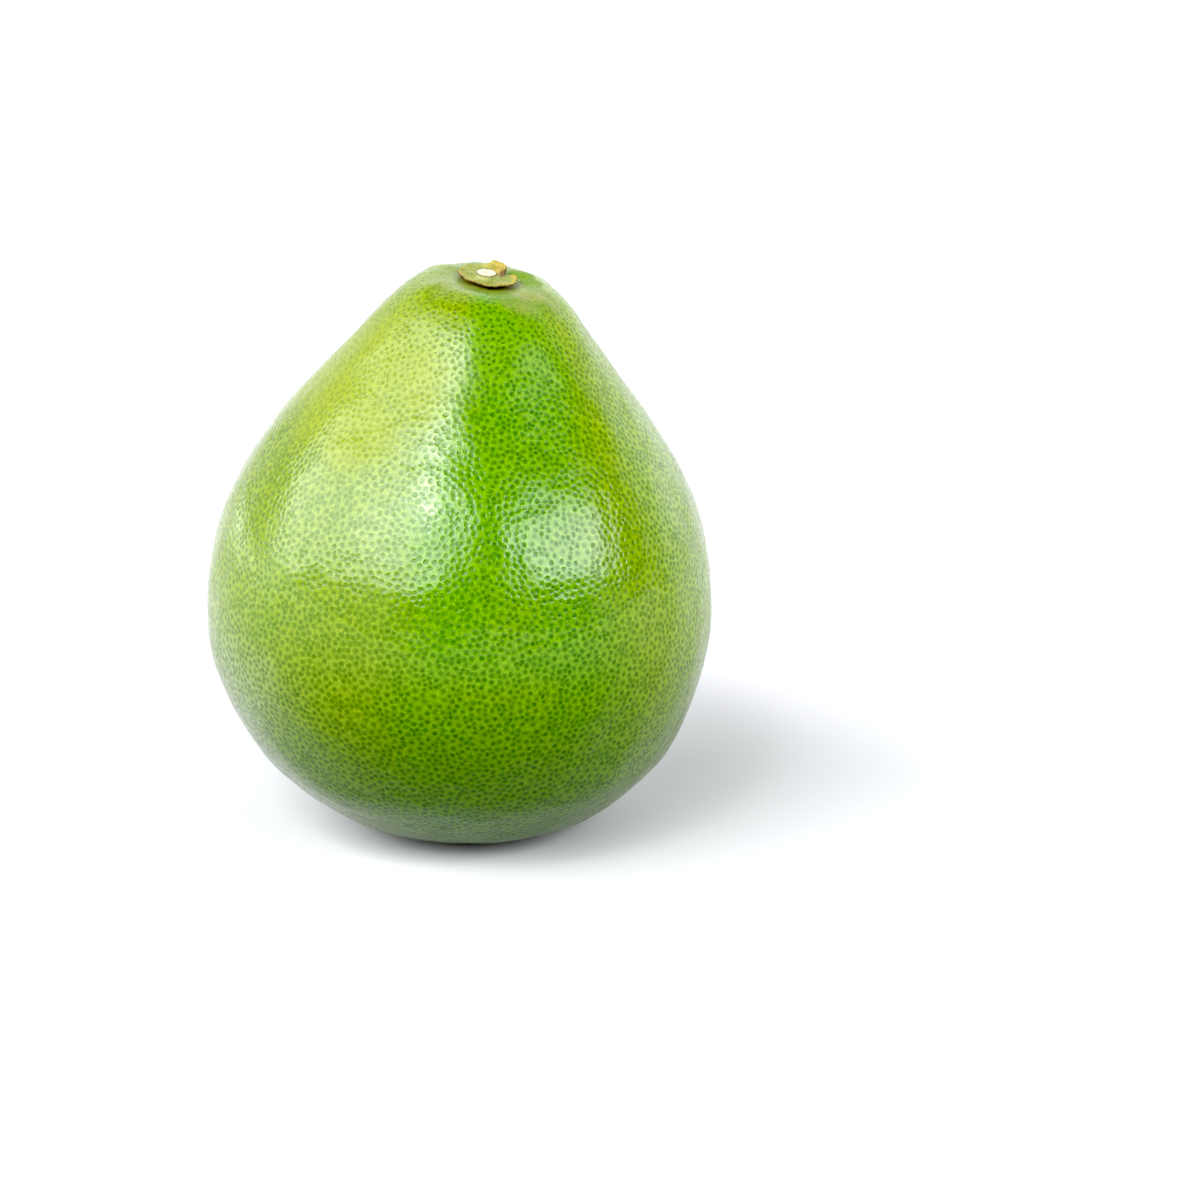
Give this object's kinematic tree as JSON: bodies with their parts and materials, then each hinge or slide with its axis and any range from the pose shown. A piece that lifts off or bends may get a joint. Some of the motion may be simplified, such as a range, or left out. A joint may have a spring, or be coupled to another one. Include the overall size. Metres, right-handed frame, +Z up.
{
  "type": "pomelo",
  "caption": "Whole green pear-shaped pomelo with a glossy pitted rind, a dry lobed calyx and a cut stem stub on its crown, resting on its small flat base.",
  "frame": {"origin": "on the resting surface, under the middle of the whole pomelo's bounding box", "axes": "+Z up, from the flat base to the stem; +X to the right and -Y towards the viewer of the picture"},
  "size_m": [0.1508, 0.1502, 0.1725],
  "materials": {
    "rind": "waxy semi-gloss green rind, pitted with oil glands",
    "calyx": "dry matte olive brown",
    "stem": "matte pale cut wood"
  },
  "bodies": {
    "root": {"fruit": "rind", "calyx": "calyx", "stem_stub": "stem"}
  },
  "joints": []
}
